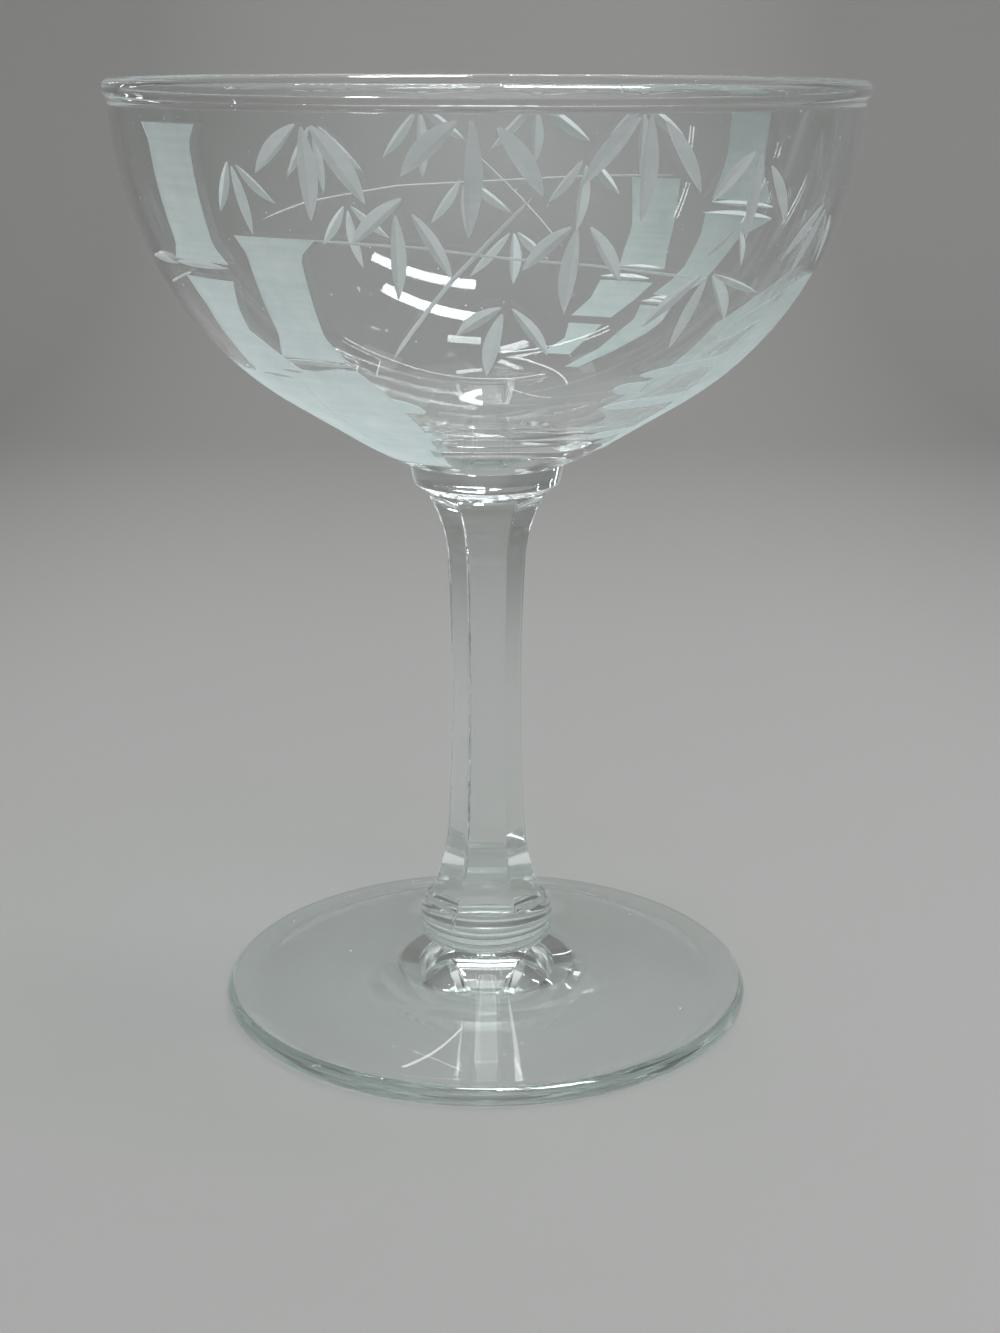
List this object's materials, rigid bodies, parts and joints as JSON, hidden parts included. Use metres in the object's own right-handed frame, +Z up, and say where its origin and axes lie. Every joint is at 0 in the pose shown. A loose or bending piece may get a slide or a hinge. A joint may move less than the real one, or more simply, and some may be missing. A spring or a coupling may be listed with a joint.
{
  "type": "coupe glass",
  "caption": "Stemmed drinking glass with a wide rounded bowl, a beaded rim, a slim six-sided stem with a collar and a knop, and a round foot.",
  "frame": {"origin": "centre of the ring that the foot stands on", "axes": "+Z up along the axis of the glass; -Y towards the side that the picture shows; one flat of the stem faces -Y"},
  "size_m": [0.0952, 0.0952, 0.1241],
  "materials": {
    "bowl_glass": "fire-polished clear soda-lime glass, with grey unpolished cuts in its outer surface",
    "stem_glass": "pressed clear soda-lime glass, fire-polished, with a faint mould seam",
    "foot_glass": "spun clear soda-lime glass, fire-polished"
  },
  "bodies": {
    "root": {"bowl": "bowl_glass", "stem": "stem_glass", "foot": "foot_glass"}
  },
  "joints": []
}
